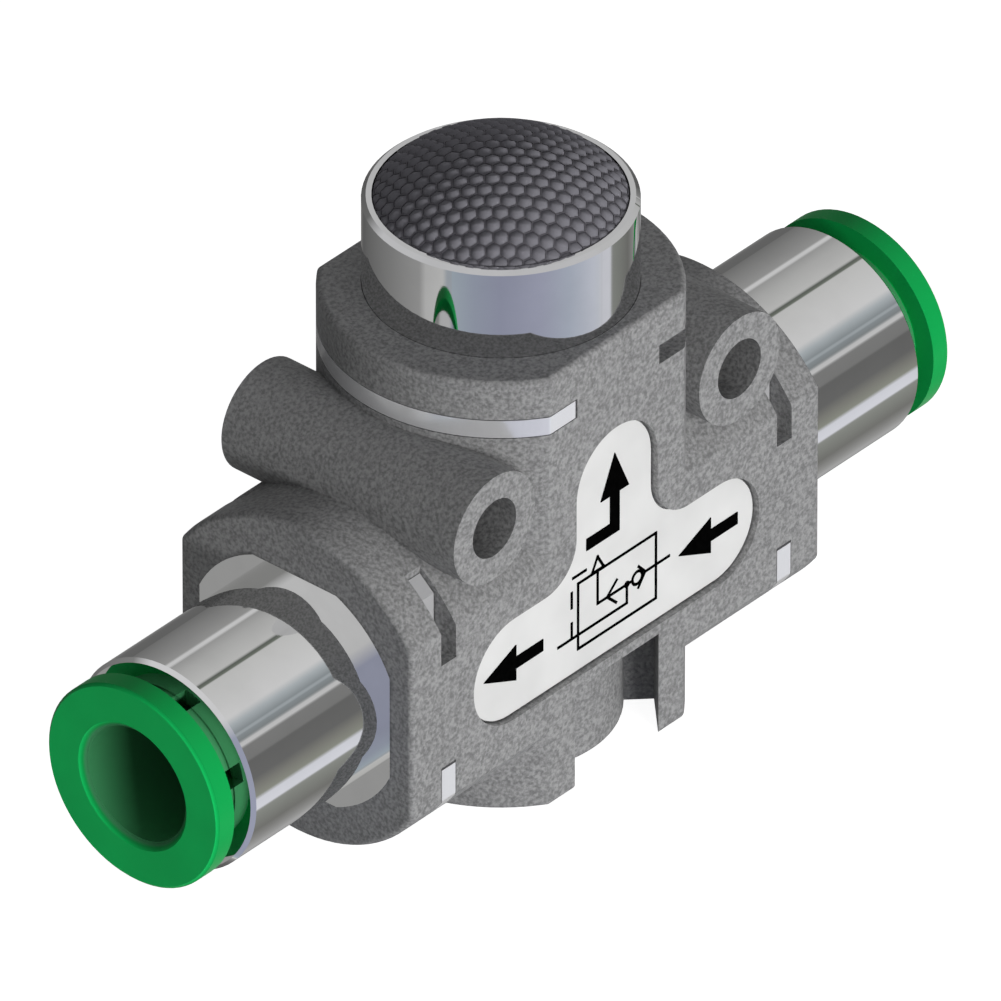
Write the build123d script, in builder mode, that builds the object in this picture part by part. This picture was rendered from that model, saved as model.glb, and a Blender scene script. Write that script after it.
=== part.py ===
from build123d import *
from math import acos, ceil, degrees, hypot, sqrt
import os

# Quick exhaust valve: a moulded body with a push-in tube socket at each end and a silenced
# exhaust port on top. Each port holds a turned cartridge that a flat spring clip locks in.
# Frame in millimetres: +X runs from the outlet socket to the inlet socket, -Y is the labelled
# front and +Z points out of the exhaust. The origin is on the exhaust axis, at the underside
# of the foot, and the tube axis lies at axis_height above it.

# Moulded body
BODY_R = 9.0             # radius of the tube barrel, the exhaust barrel and the foot
BODY_DEPTH = 15.0        # between the front and back flats
BODY_LENGTH = 30.3       # between the two socket faces
TOP_HEIGHT = 15.8        # exhaust face above the tube axis
FOOT_REACH = 0.4         # underside of the foot below the tube barrel
CORNER_R = 0.3           # rounding of the outer edges
BOSS_R = 3.0             # cross bosses for the fixing screws
BOSS_HOLE_R = 1.6        # clearance hole for an M3 screw
BOSS_SPACING = 18.15     # centre to centre along the body
BOSS_CLIP_GAP = 0.35     # left between a boss and the slot of the top clip
FOOT_TUBE_R = 6.0        # round tube in the middle of the foot
FOOT_WALL = 1.5          # wall of the foot outside its pockets
FOOT_CEILING = 3.4       # top of the foot pockets below the tube axis

# Ports, the same bore at the two ends and at the top
PORT_BORE_R = 6.0
SOCKET_BORE_DEPTH = 8.1  # each end bore, from the socket face
SILENCER_BORE_DEPTH = 9.6
FLANGE_R = 6.75          # cartridge flange in the socket face
FLANGE_HALF_WIDTH = 6.1  # flats at the flange's front and back
FLANGE_HALF_HEIGHT = 6.2  # flats at the flange's top and bottom
FLANGE_T = 1.1
FLANGE_PROUD = 0.1       # flange face in front of the body's face
FIT = 0.05               # clearance of a slip fit, on each side
FLANGE_GAP = 0.05        # around and behind the flange in its recess

# Spring clips
CLIP_T = 1.0
CLIP_SETBACK = 2.2       # clip behind the face of its port
CLIP_GROOVE_R = 5.1      # groove that the clip straddles
CLIP_SLACK = 0.1         # between the clip and the bottom of the groove
CLIP_LEG_W = 0.9
CLIP_SHOULDER = 3.1      # where the clip's head ends on the flats, off the port axis
CLIP_NOTCH = 0.15        # open end of the slot beside the head
CLIP_WINDOW = 3.1        # where the leg slots open to the flats, off the port axis
CLIP_TIP_INSET = 0.27    # leg tips below the round of the barrel

# Push-in cartridges, heights counted outwards from the socket face
SLEEVE_R = 5.72
SLEEVE_REACH = 9.6
SLEEVE_BEVEL = 0.2
SLEEVE_WALL = 0.55
SLEEVE_LIP_T = 0.95      # inward lip at the mouth
SPIGOT_GAP = 0.1         # between the spigot and its bore
SPIGOT_END_GAP = 1.1     # left for the air behind the cartridge
FLOW_BORE_R = 2.1
TUBE_R = 3.0             # plastic tube of 6 mm outside diameter
TUBE_GAP = 0.04          # round the tube in its guide
TUBE_GUIDE_L = 2.0
SEAL_R = 4.5             # chamber for the tube seal
SEAL_L = 2.5
SEAL_MOUTH = 0.5         # open width of the groove in the seal
SEAL_TUBE_GAP = 0.02
WASHER_L = 1.2
WASHER_TUBE_GAP = 0.4
GRIP_L = 1.2
STACK_GAP = 0.1          # between the pieces stacked in a cartridge
ORING_CORD = 1.1
ORING_SQUEEZE_GAP = 0.03
ORING_SIDE_GAP = 0.2
ORING_FROM_TIP = 1.5     # groove behind the cartridge's inner end

# Release rings
RING_TRAVEL = 1.0
RING_STOP_GAP = 0.2      # left at each end of the travel
RING_FLANGE_R = 5.53
RING_FLANGE_T = 1.2
RING_NECK_R = 4.4
RING_NECK_GAP = 0.12     # neck in the lip of the sleeve
RING_BEAD = 0.35         # snap bead above the neck
RING_BEAD_T = 0.6
RING_NOSE_R = 4.05
RING_BORE_R = 3.2
RING_MOUTH_BEVEL = 0.3
RING_EDGE_BEVEL = 0.15
RING_SLOTS = 6
RING_SLOT_W = 1.05
RING_SLOT_SHOW = 0.8     # slots seen outside the sleeve
RING_SLOT_TURN = 15      # degrees from the front of the valve
RING_GUIDE_GAP = 0.1     # nose and bead in the guide bush
BUSH_GUIDE_L = 2.3
GRIP_TEETH = 12
GRIP_SLOT_W = 0.45
GRIP_T = 0.3

# Silencer
SILENCER_R = 6.77
SILENCER_REACH = 5.0     # rim above the exhaust face
SILENCER_WALL = 0.48
SILENCER_BEVEL = 0.2
SILENCER_CUP_SINK = 0.2  # floor of the cup below the exhaust face
SILENCER_GAP = 0.05      # ring groove seen round the silencer
SILENCER_THROAT_R = 3.9
EXHAUST_BORE_R = 2.5
EXHAUST_SEAT_W = 0.7
DOME_RISE = 2.65
DOME_T = 0.35
DOME_SKIRT = 1.2
DOME_PITCH = 0.96        # hexagonal gaps, centre to centre
DOME_RIB = 0.2           # between neighbouring gaps
PAD_GAP = 0.1

# Valve inside the body
CHAMBER_R = 4.8
CHAMBER_FLOOR = 6.2      # below the tube axis
INLET_CHAMBER_R = 4.2
SEAT_LEDGE = 2.6         # ledge that the inlet seat rests on, below the tube axis
LEDGE_WALL = 0.4         # under the ledge, above the inlet passage
SEAT_L = 2.0
SEAT_BORE_R = 2.4
SEAT_RIM_W = 0.6
SEAT_RIM_H = 0.4
SEAT_ORING_CORD = 0.9
SEAT_GROOVE_L = 1.3
PASSAGE_W = 4.0
PASSAGE_H = 2.6
POPPET_TRAVEL = 1.5
POPPET_DISC_T = 1.0
POPPET_LIP_H = 0.5
POPPET_LIP_T = 0.35
POPPET_GAP = 0.05        # left at each end of the travel
POPPET_SIDE_GAP = 0.07
POPPET_OVERLAP = 0.3     # disc beyond the rim of its seat
WING_T = 0.8
WING_L = 3.0

# Label on the front
LABEL_DEPTH = 0.6        # recess in the front flat
LABEL_T = 0.25
LABEL_LOBE_R = 2.975     # side lobes
LABEL_HALF_LENGTH = 10.6
LABEL_BASE = 2.85        # straight lower edge below the tube axis
LABEL_TOP_R = 3.0        # upper lobe
LABEL_TOP = 10.49
LABEL_BEND_R = 2.3
LABEL_GAP = 0.1
ARROW_T = 0.05
ARROW_L = 4.4
ARROW_HEAD_L = 2.4
ARROW_HEAD_W = 2.1
ARROW_SHAFT_W = 0.7
ARROW_HEIGHT = 0.1       # through arrows above the tube axis
OUTLET_ARROW_TIP = -9.5
INLET_ARROW_TIP = 4.95
EXHAUST_ARROW_TIP = 8.7
EXHAUST_ARROW_X = 0.2
EXHAUST_ARROW_FOOT = 3.97
EXHAUST_ARROW_TAIL = -1.9

axis_height = BODY_R + FOOT_REACH

# Frames of the three ports: z points out of the port, y along the legs of its clip
OUTLET = Plane(origin=(-BODY_LENGTH / 2, 0, axis_height), x_dir=(0, -1, 0), z_dir=(-1, 0, 0))
INLET = Plane(origin=(BODY_LENGTH / 2, 0, axis_height), x_dir=(0, 1, 0), z_dir=(1, 0, 0))
EXHAUST = Plane(origin=(0, 0, axis_height + TOP_HEIGHT), x_dir=(0, -1, 0), z_dir=(0, 0, 1))
SOCKETS = {"left": OUTLET, "right": INLET}
CLIPPED_PORTS = {"left": OUTLET, "right": INLET, "top": EXHAUST}
# Planes through the tube axis: level, and on the front flat
LEVEL = Plane.XY.offset(axis_height)
FRONT = Plane(origin=(0, -BODY_DEPTH / 2, axis_height), x_dir=(1, 0, 0), z_dir=(0, -1, 0))

# Shared heights and radii worked out from the sizes above
clip_back = -CLIP_SETBACK - CLIP_T
groove_front = -CLIP_SETBACK + FIT
groove_back = clip_back - FIT
boss_height = TOP_HEIGHT + groove_back - BOSS_CLIP_GAP - BOSS_R
recess_depth = FLANGE_T - FLANGE_PROUD + FLANGE_GAP
flange_back = FLANGE_PROUD - FLANGE_T
spigot_r = PORT_BORE_R - SPIGOT_GAP
spigot_end = -SOCKET_BORE_DEPTH + SPIGOT_END_GAP
sleeve_bore_r = SLEEVE_R - SLEEVE_WALL
tube_bore_r = TUBE_R + TUBE_GAP
lip_back = SLEEVE_REACH - SLEEVE_LIP_T
lip_bore_r = RING_NECK_R + RING_NECK_GAP
ring_back = SLEEVE_REACH + RING_TRAVEL + RING_STOP_GAP
ring_front = ring_back + RING_FLANGE_T
bead_front = lip_back - RING_STOP_GAP
bead_back = bead_front - RING_BEAD_T
bead_r = RING_NECK_R + RING_BEAD
bush_undercut = bead_back - RING_TRAVEL - RING_STOP_GAP
bush_back = bush_undercut - BUSH_GUIDE_L
nose_tip = bush_back + RING_TRAVEL + STACK_GAP
grip_front = bush_back - STACK_GAP
grip_back = grip_front - GRIP_L
washer_front = grip_back - STACK_GAP
washer_back = washer_front - WASHER_L
seal_front = washer_back - STACK_GAP
seal_back = seal_front - SEAL_L
seal_floor = seal_back - STACK_GAP
tube_stop = seal_floor - TUBE_GUIDE_L
oring_groove_r = PORT_BORE_R - ORING_CORD - 2 * ORING_SQUEEZE_GAP
oring_groove_l = ORING_CORD + 2 * ORING_SIDE_GAP
oring_back = spigot_end + ORING_FROM_TIP
oring_front = oring_back + oring_groove_l
silencer_end = SPIGOT_GAP - SILENCER_BORE_DEPTH
silencer_oring_back = silencer_end + ORING_FROM_TIP
silencer_oring_front = silencer_oring_back + oring_groove_l
cup_r = SILENCER_R - SILENCER_WALL
cup_floor = -SILENCER_CUP_SINK
mesh_r = cup_r - FIT
dome_foot = SILENCER_REACH - FIT
seat_r = CHAMBER_R - FIT
seat_top = SEAT_L - SEAT_LEDGE
seat_groove_r = CHAMBER_R - SEAT_ORING_CORD - 2 * ORING_SQUEEZE_GAP
seat_groove_back = seat_top - (SEAT_L + SEAT_GROOVE_L) / 2
seat_groove_front = seat_groove_back + SEAT_GROOVE_L
poppet_base = seat_top + SEAT_RIM_H + POPPET_GAP
poppet_top = poppet_base + POPPET_DISC_T
exhaust_seat = poppet_top + POPPET_TRAVEL + POPPET_GAP - TOP_HEIGHT


def section_of(port):
    """Plane through a port's axis: local x is the radius, local y the height off its face."""
    return Plane(origin=port.origin, x_dir=port.x_dir, z_dir=-port.y_dir)


def turn(port, points):
    """Revolve a closed outline of (radius, height) points about a port's axis."""
    with BuildSketch(section_of(port)) as outline:
        with BuildLine():
            Polyline(*points, close=True)
        make_face()
    revolve(outline.sketch, axis=Axis(port.origin, port.z_dir))


def make_o_ring(port, height, bore_r, groove_r):
    """O-ring that fills its groove between the groove's bottom and the bore."""
    cord_r = (bore_r - groove_r) / 2 - ORING_SQUEEZE_GAP
    with BuildPart() as ring:
        with BuildSketch(section_of(port)):
            with Locations(((bore_r + groove_r) / 2, height)):
                Circle(cord_r)
        revolve(axis=Axis(port.origin, port.z_dir))
    return ring


def finish(piece, name):
    """Label a finished piece and write it as a STEP file."""
    piece.part.label = name
    export_step(piece.part, f"parts/{name}.step")


def flatted_round(width, height):
    """Round of the barrels, cut to the flats at the front and back."""
    Circle(BODY_R)
    Rectangle(width, height, mode=Mode.INTERSECT)


def label_outline(gap):
    """Three-lobed outline of the label, drawn inwards by a gap."""
    lobe_r = LABEL_LOBE_R - gap
    top_r = LABEL_TOP_R - gap
    top_centre = LABEL_TOP - LABEL_TOP_R
    side_height = LABEL_LOBE_R - LABEL_BASE
    with Locations((0, side_height)):
        SlotOverall(2 * (LABEL_HALF_LENGTH - gap), 2 * lobe_r)
    with Locations((0, (side_height + top_centre) / 2)):
        Rectangle(2 * top_r, top_centre - side_height)
    with Locations((0, top_centre)):
        Circle(top_r)
    bend_height = side_height + lobe_r
    bends = vertices().filter_by(lambda v: abs(v.Y - bend_height) < gap + FIT
                                 and abs(abs(v.X) - top_r) < gap + FIT)
    fillet(bends, LABEL_BEND_R + gap)


def through_arrow(tip_x):
    """Points of a straight arrow that points at -X, with its tip at tip_x."""
    half_head = ARROW_HEAD_W / 2
    half_shaft = ARROW_SHAFT_W / 2
    neck_x = tip_x + ARROW_HEAD_L
    end_x = tip_x + ARROW_L
    low, high = ARROW_HEIGHT - half_shaft, ARROW_HEIGHT + half_shaft
    return [(tip_x, ARROW_HEIGHT), (neck_x, ARROW_HEIGHT + half_head), (neck_x, high),
            (end_x, high), (end_x, low), (neck_x, low), (neck_x, ARROW_HEIGHT - half_head)]


def bent_arrow():
    """Points of the arrow that comes from the outlet side and turns up to the exhaust."""
    half_head = ARROW_HEAD_W / 2
    half_shaft = ARROW_SHAFT_W / 2
    left, right = EXHAUST_ARROW_X - half_shaft, EXHAUST_ARROW_X + half_shaft
    neck = EXHAUST_ARROW_TIP - ARROW_HEAD_L
    foot, bend = EXHAUST_ARROW_FOOT, EXHAUST_ARROW_FOOT + ARROW_SHAFT_W
    return [(EXHAUST_ARROW_X, EXHAUST_ARROW_TIP), (EXHAUST_ARROW_X + half_head, neck),
            (right, neck), (right, foot), (EXHAUST_ARROW_TAIL, foot),
            (EXHAUST_ARROW_TAIL, bend), (left, bend), (left, neck),
            (EXHAUST_ARROW_X - half_head, neck)]


def clip_slot(port):
    """Slot of a port's clip: open at the head, hidden along the legs, open at the tips."""
    leg_r = CLIP_GROOVE_R + CLIP_SLACK + CLIP_LEG_W + FIT
    inner_r = CLIP_GROOVE_R + CLIP_SLACK - FIT
    head_end = -CLIP_SHOULDER + CLIP_NOTCH
    with BuildSketch(port.offset(groove_back)) as slot:
        with Locations((0, head_end - BODY_R)):
            Rectangle(4 * BODY_R, 2 * BODY_R)
        with Locations((0, BODY_R / 2)):
            Rectangle(2 * leg_r, BODY_R + 2 * CLIP_SHOULDER)
        with Locations((0, CLIP_WINDOW + BODY_R)):
            Rectangle(4 * BODY_R, 2 * BODY_R)
        with Locations((0, BODY_R)):
            Rectangle(2 * inner_r, 2 * BODY_R, mode=Mode.SUBTRACT)
    return slot.sketch


def flange_outline(gap):
    """Round of a socket flange with flats on four sides, drawn outwards by a gap."""
    Circle(FLANGE_R + gap)
    Rectangle(2 * (FLANGE_HALF_WIDTH + gap), 2 * (FLANGE_HALF_HEIGHT + gap), mode=Mode.INTERSECT)


def clip_outline(port):
    """Horseshoe clip: head flush with the body, legs on either side of the groove."""
    inner_r = CLIP_GROOVE_R + CLIP_SLACK
    outer_r = inner_r + CLIP_LEG_W
    tip_r = BODY_R - CLIP_TIP_INSET
    with BuildSketch(port.offset(clip_back)) as clip:
        flatted_round(BODY_DEPTH, 2 * BODY_R)
        fillet(vertices(), CORNER_R)
        with Locations((0, BODY_R - CLIP_SHOULDER)):
            Rectangle(4 * BODY_R, 2 * BODY_R, mode=Mode.SUBTRACT)
        with BuildLine():
            Polyline((inner_r, -CLIP_SHOULDER), (outer_r, -CLIP_SHOULDER),
                     (outer_r, sqrt(tip_r**2 - outer_r**2)),
                     (inner_r, sqrt(tip_r**2 - inner_r**2)), close=True)
        make_face()
        mirror(about=Plane.YZ)
        Circle(inner_r, mode=Mode.SUBTRACT)
    return clip.sketch


def dome_arc(rim_r, drop):
    """Centre height, radius and start angle of the grille's dome, lowered by a drop."""
    radius = (mesh_r**2 + DOME_RISE**2) / (2 * DOME_RISE)
    centre = dome_foot + DOME_RISE - radius
    inner_radius = radius - drop
    return centre, inner_radius, degrees(acos(rim_r / inner_radius))


def gap_spots():
    """Centres of the hexagonal gaps, in rows along X, as far as they clear the skirt."""
    reach = mesh_r - DOME_T - DOME_PITCH / 2
    row_pitch = DOME_PITCH * sqrt(3) / 2
    rows = ceil(mesh_r / row_pitch)
    spots = [((column + row % 2 / 2) * DOME_PITCH, row * row_pitch)
             for row in range(-rows, rows + 1) for column in range(-2 * rows, 2 * rows + 1)]
    return [(x, y) for x, y in spots if hypot(x, y) < reach]


# Body: two crossing flatted barrels, bosses, port bores and the air passages
with BuildPart() as body:
    with BuildSketch(OUTLET):
        flatted_round(BODY_DEPTH, 2 * BODY_R)
    extrude(amount=-BODY_LENGTH)
    with BuildSketch(Plane.XY):
        flatted_round(2 * BODY_R, BODY_DEPTH)
    extrude(amount=axis_height + TOP_HEIGHT)
    fillet(body.edges().group_by(Axis.Y)[0] + body.edges().group_by(Axis.Y)[-1], CORNER_R)
    for axis in (Axis.X, Axis.Z):
        ends = body.edges().group_by(axis)[0] + body.edges().group_by(axis)[-1]
        fillet(ends.filter_by(GeomType.CIRCLE), CORNER_R)

    # Pockets at the front and back of the foot leave its tube, two ribs and a thin wall
    pocket_side = BODY_R - FOOT_WALL
    with BuildSketch(Plane.XY):
        with PolarLocations(pocket_side / sqrt(2), 2, start_angle=90):
            Rectangle(pocket_side, pocket_side, rotation=45)
        Circle(FOOT_TUBE_R, mode=Mode.SUBTRACT)
    extrude(amount=axis_height - FOOT_CEILING, mode=Mode.SUBTRACT)
    fillet(body.edges().group_by(Axis.Z)[0].filter_by(GeomType.CIRCLE), CORNER_R)

    for port in CLIPPED_PORTS.values():
        extrude(clip_slot(port), amount=groove_front - groove_back, mode=Mode.SUBTRACT)

    with BuildSketch(FRONT):
        with GridLocations(BOSS_SPACING, 1, 2, 1):
            with Locations((0, boss_height)):
                Circle(BOSS_R)
    extrude(amount=-BODY_DEPTH)
    with BuildSketch(FRONT):
        with GridLocations(BOSS_SPACING, 1, 2, 1):
            with Locations((0, boss_height)):
                Circle(BOSS_HOLE_R)
    extrude(amount=-BODY_DEPTH, mode=Mode.SUBTRACT)

    # Bores and recesses of the two sockets and the exhaust
    for socket in SOCKETS.values():
        with BuildSketch(socket):
            flange_outline(FLANGE_GAP)
        extrude(amount=-recess_depth, mode=Mode.SUBTRACT)
        with BuildSketch(socket):
            Circle(PORT_BORE_R)
        extrude(amount=-SOCKET_BORE_DEPTH, mode=Mode.SUBTRACT)
    with BuildSketch(EXHAUST):
        Circle(SILENCER_R + SILENCER_GAP)
    extrude(amount=-recess_depth, mode=Mode.SUBTRACT)
    with BuildSketch(EXHAUST):
        Circle(PORT_BORE_R)
    extrude(amount=-SILENCER_BORE_DEPTH, mode=Mode.SUBTRACT)

    # Valve chamber, with a ledge for the inlet seat, and its inlet and outlet passages
    with BuildSketch(LEVEL.offset(-SEAT_LEDGE)):
        Circle(CHAMBER_R)
    extrude(amount=TOP_HEIGHT - SILENCER_BORE_DEPTH + SEAT_LEDGE, mode=Mode.SUBTRACT)
    with BuildSketch(LEVEL.offset(-CHAMBER_FLOOR)):
        Circle(INLET_CHAMBER_R)
    extrude(amount=CHAMBER_FLOOR - SEAT_LEDGE, mode=Mode.SUBTRACT)
    inlet_height = -SEAT_LEDGE - LEDGE_WALL - PASSAGE_H / 2
    with BuildSketch(INLET.offset(-SOCKET_BORE_DEPTH)):
        with Locations((0, inlet_height)):
            SlotOverall(PASSAGE_W, PASSAGE_H)
    extrude(amount=SOCKET_BORE_DEPTH - BODY_LENGTH / 2, mode=Mode.SUBTRACT)
    outlet_height = PASSAGE_H / 2
    with BuildSketch(OUTLET.offset(-SOCKET_BORE_DEPTH)):
        with Locations((0, outlet_height)):
            SlotOverall(PASSAGE_W, PASSAGE_H)
    extrude(amount=SOCKET_BORE_DEPTH - BODY_LENGTH / 2, mode=Mode.SUBTRACT)

    with BuildSketch(FRONT):
        label_outline(0)
    extrude(amount=-LABEL_DEPTH, mode=Mode.SUBTRACT)


def make_cartridge(socket):
    """Turned socket cartridge: spigot, clip groove, flatted flange and sleeve."""
    step = grip_front - GRIP_T - STACK_GAP
    with BuildPart() as cartridge:
        turn(socket, [
            (FLOW_BORE_R, spigot_end), (spigot_r, spigot_end),
            (spigot_r, oring_back), (oring_groove_r, oring_back),
            (oring_groove_r, oring_front), (spigot_r, oring_front),
            (spigot_r, groove_back), (CLIP_GROOVE_R, groove_back),
            (CLIP_GROOVE_R, groove_front), (spigot_r, groove_front),
            (spigot_r, flange_back), (FLANGE_R, flange_back),
            (FLANGE_R, FLANGE_PROUD), (SLEEVE_R, FLANGE_PROUD),
            (SLEEVE_R, SLEEVE_REACH - SLEEVE_BEVEL), (SLEEVE_R - SLEEVE_BEVEL, SLEEVE_REACH),
            (lip_bore_r, SLEEVE_REACH), (lip_bore_r, lip_back),
            (sleeve_bore_r, lip_back), (sleeve_bore_r, step),
            (SEAL_R, step), (SEAL_R, seal_floor),
            (tube_bore_r, seal_floor), (tube_bore_r, tube_stop),
            (FLOW_BORE_R, tube_stop)])
        with BuildSketch(socket.offset(flange_back)):
            Circle(FLANGE_R + FLANGE_GAP)
            Rectangle(2 * FLANGE_HALF_WIDTH, 2 * FLANGE_HALF_HEIGHT, mode=Mode.SUBTRACT)
        extrude(amount=FLANGE_T, mode=Mode.SUBTRACT)
    return cartridge


def make_tube_seal(socket):
    """Lip seal round the tube, its groove open to the pressure side."""
    inner_r = TUBE_R + SEAL_TUBE_GAP
    outer_r = SEAL_R - FIT
    middle_r = (inner_r + outer_r) / 2
    with BuildPart() as seal:
        turn(socket, [
            (inner_r, seal_front), (outer_r, seal_front), (outer_r, seal_back),
            (middle_r + SEAL_MOUTH / 2, seal_back), (middle_r, seal_back + SEAL_L / 2),
            (middle_r - SEAL_MOUTH / 2, seal_back), (inner_r, seal_back)])
    return seal


def make_seal_washer(socket):
    """Flat backing ring between the tube seal and the grip ring."""
    inner_r = TUBE_R + WASHER_TUBE_GAP
    with BuildPart() as washer:
        turn(socket, [
            (inner_r, washer_back), (SEAL_R - FIT, washer_back),
            (SEAL_R - FIT, washer_front), (inner_r, washer_front)])
    return washer


def make_grip_ring(socket):
    """Steel ring with a flat rim and teeth that lean inwards to the tube."""
    rim_r = sleeve_bore_r - FIT
    root_r = SEAL_R - 2 * STACK_GAP
    rim_back = grip_front - GRIP_T
    with BuildPart() as ring:
        turn(socket, [
            (rim_r, grip_front), (rim_r, rim_back), (root_r, rim_back), (TUBE_R, grip_back),
            (TUBE_R, grip_back + GRIP_T), (root_r, grip_front)])
        with BuildSketch(socket.offset(grip_back)):
            with PolarLocations(root_r / 2, GRIP_TEETH):
                Rectangle(root_r, GRIP_SLOT_W)
        extrude(amount=GRIP_L, mode=Mode.SUBTRACT)
    return ring


def make_guide_bush(socket):
    """Bush that guides the release ring and keeps the grip ring in place."""
    outer_r = sleeve_bore_r - FIT
    guide_r = RING_NOSE_R + RING_GUIDE_GAP
    undercut_r = bead_r + RING_GUIDE_GAP
    front = lip_back - STACK_GAP
    with BuildPart() as bush:
        turn(socket, [
            (guide_r, bush_back), (outer_r, bush_back), (outer_r, front),
            (undercut_r, front), (undercut_r, bush_undercut), (guide_r, bush_undercut)])
    return bush


def make_release_ring(socket):
    """Push ring: nose, snap bead, slotted neck and a round flange."""
    slot_slope = RING_SLOT_W / 2 / RING_NECK_R
    near, far = RING_BORE_R / 2, bead_r + RING_BEAD
    with BuildPart() as ring:
        turn(socket, [
            (RING_BORE_R, nose_tip), (RING_NOSE_R, nose_tip),
            (RING_NOSE_R, bead_back), (bead_r, bead_back),
            (bead_r, bead_front), (RING_NECK_R, bead_front),
            (RING_NECK_R, ring_back), (RING_FLANGE_R, ring_back),
            (RING_FLANGE_R, ring_front - RING_EDGE_BEVEL),
            (RING_FLANGE_R - RING_EDGE_BEVEL, ring_front),
            (RING_BORE_R + RING_MOUTH_BEVEL, ring_front),
            (RING_BORE_R, ring_front - RING_MOUTH_BEVEL)])
        with BuildSketch(socket.offset(nose_tip)):
            with PolarLocations(0, RING_SLOTS, start_angle=RING_SLOT_TURN):
                Polygon((near, -near * slot_slope), (far, -far * slot_slope),
                        (far, far * slot_slope), (near, near * slot_slope), align=None)
        extrude(amount=SLEEVE_REACH + RING_SLOT_SHOW - nose_tip, mode=Mode.SUBTRACT)
    return ring


# Label plate and the flow arrows printed on it
with BuildPart() as label_plate:
    with BuildSketch(FRONT.offset(-LABEL_DEPTH)):
        label_outline(LABEL_GAP)
    extrude(amount=LABEL_T)

with BuildPart() as flow_arrows:
    with BuildSketch(FRONT.offset(LABEL_T - LABEL_DEPTH)):
        for points in (through_arrow(OUTLET_ARROW_TIP), through_arrow(INLET_ARROW_TIP),
                       bent_arrow()):
            Polygon(*points, align=None)
    extrude(amount=ARROW_T)

# Silencer housing: exhaust seat, spigot, clip groove and the cup for pad and grille
with BuildPart() as silencer_housing:
    turn(EXHAUST, [
        (EXHAUST_BORE_R, exhaust_seat), (EXHAUST_BORE_R + EXHAUST_SEAT_W, exhaust_seat),
        (EXHAUST_BORE_R + EXHAUST_SEAT_W, silencer_end), (spigot_r, silencer_end),
        (spigot_r, silencer_oring_back), (oring_groove_r, silencer_oring_back),
        (oring_groove_r, silencer_oring_front), (spigot_r, silencer_oring_front),
        (spigot_r, groove_back), (CLIP_GROOVE_R, groove_back),
        (CLIP_GROOVE_R, groove_front), (spigot_r, groove_front),
        (spigot_r, flange_back), (SILENCER_R, flange_back),
        (SILENCER_R, SILENCER_REACH - SILENCER_BEVEL),
        (SILENCER_R - SILENCER_BEVEL, SILENCER_REACH),
        (cup_r, SILENCER_REACH), (cup_r, cup_floor),
        (SILENCER_THROAT_R, cup_floor), (SILENCER_THROAT_R, groove_back),
        (EXHAUST_BORE_R, silencer_oring_front)])

# Sound-absorbing pad, domed under the grille
pad_r = mesh_r - DOME_T - PAD_GAP
with BuildPart() as silencer_pad:
    centre, radius, start = dome_arc(pad_r, DOME_T + PAD_GAP)
    with BuildSketch(section_of(EXHAUST)):
        with BuildLine():
            dome = CenterArc((0, centre), radius, start, 90 - start)
            Polyline(dome @ 1, (0, cup_floor + PAD_GAP), (pad_r, cup_floor + PAD_GAP), dome @ 0)
        make_face()
    revolve(axis=Axis(EXHAUST.origin, EXHAUST.z_dir))

# Domed grille pressed into the cup, pierced by hexagonal gaps
with BuildPart() as silencer_grille:
    top_centre, top_radius, top_start = dome_arc(mesh_r, 0)
    low_centre, low_radius, low_start = dome_arc(mesh_r - DOME_T, DOME_T)
    skirt_foot = dome_foot - DOME_SKIRT
    with BuildSketch(section_of(EXHAUST)):
        with BuildLine():
            top = CenterArc((0, top_centre), top_radius, top_start, 90 - top_start)
            low = CenterArc((0, low_centre), low_radius, low_start, 90 - low_start)
            Line(top @ 1, low @ 1)
            Polyline(low @ 0, (mesh_r - DOME_T, skirt_foot), (mesh_r, skirt_foot), top @ 0)
        make_face()
    revolve(axis=Axis(EXHAUST.origin, EXHAUST.z_dir))
    with BuildSketch(EXHAUST.offset(dome_foot)):
        with Locations(*gap_spots()):
            RegularPolygon((DOME_PITCH - DOME_RIB) / 2, 6, major_radius=False, rotation=30)
    extrude(amount=DOME_RISE, mode=Mode.SUBTRACT)

# Inlet seat on the ledge of the chamber, with its O-ring groove
with BuildPart() as inlet_seat:
    turn(LEVEL, [
        (SEAT_BORE_R, -SEAT_LEDGE), (seat_r, -SEAT_LEDGE),
        (seat_r, seat_groove_back), (seat_groove_r, seat_groove_back),
        (seat_groove_r, seat_groove_front), (seat_r, seat_groove_front),
        (seat_r, seat_top), (SEAT_BORE_R + SEAT_RIM_W, seat_top),
        (SEAT_BORE_R + SEAT_RIM_W, seat_top + SEAT_RIM_H), (SEAT_BORE_R, seat_top + SEAT_RIM_H)])

# Valve poppet: lipped disc with four wings that guide it in the inlet seat
poppet_disc_r = SEAT_BORE_R + SEAT_RIM_W + POPPET_OVERLAP
poppet_lip_r = CHAMBER_R - POPPET_SIDE_GAP
lip_top = poppet_top + POPPET_LIP_H
with BuildPart() as valve_poppet:
    turn(LEVEL, [
        (0, poppet_base), (poppet_disc_r, poppet_base),
        (poppet_lip_r, lip_top - POPPET_LIP_T), (poppet_lip_r, lip_top),
        (poppet_lip_r - POPPET_LIP_T, lip_top), (poppet_disc_r, poppet_base + POPPET_LIP_T),
        (poppet_disc_r, poppet_top), (0, poppet_top)])
    with BuildSketch(LEVEL.offset(poppet_base)):
        for angle in (0, 90):
            Rectangle(2 * (SEAT_BORE_R - POPPET_SIDE_GAP), WING_T, rotation=angle)
    extrude(amount=-WING_L)

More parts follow.
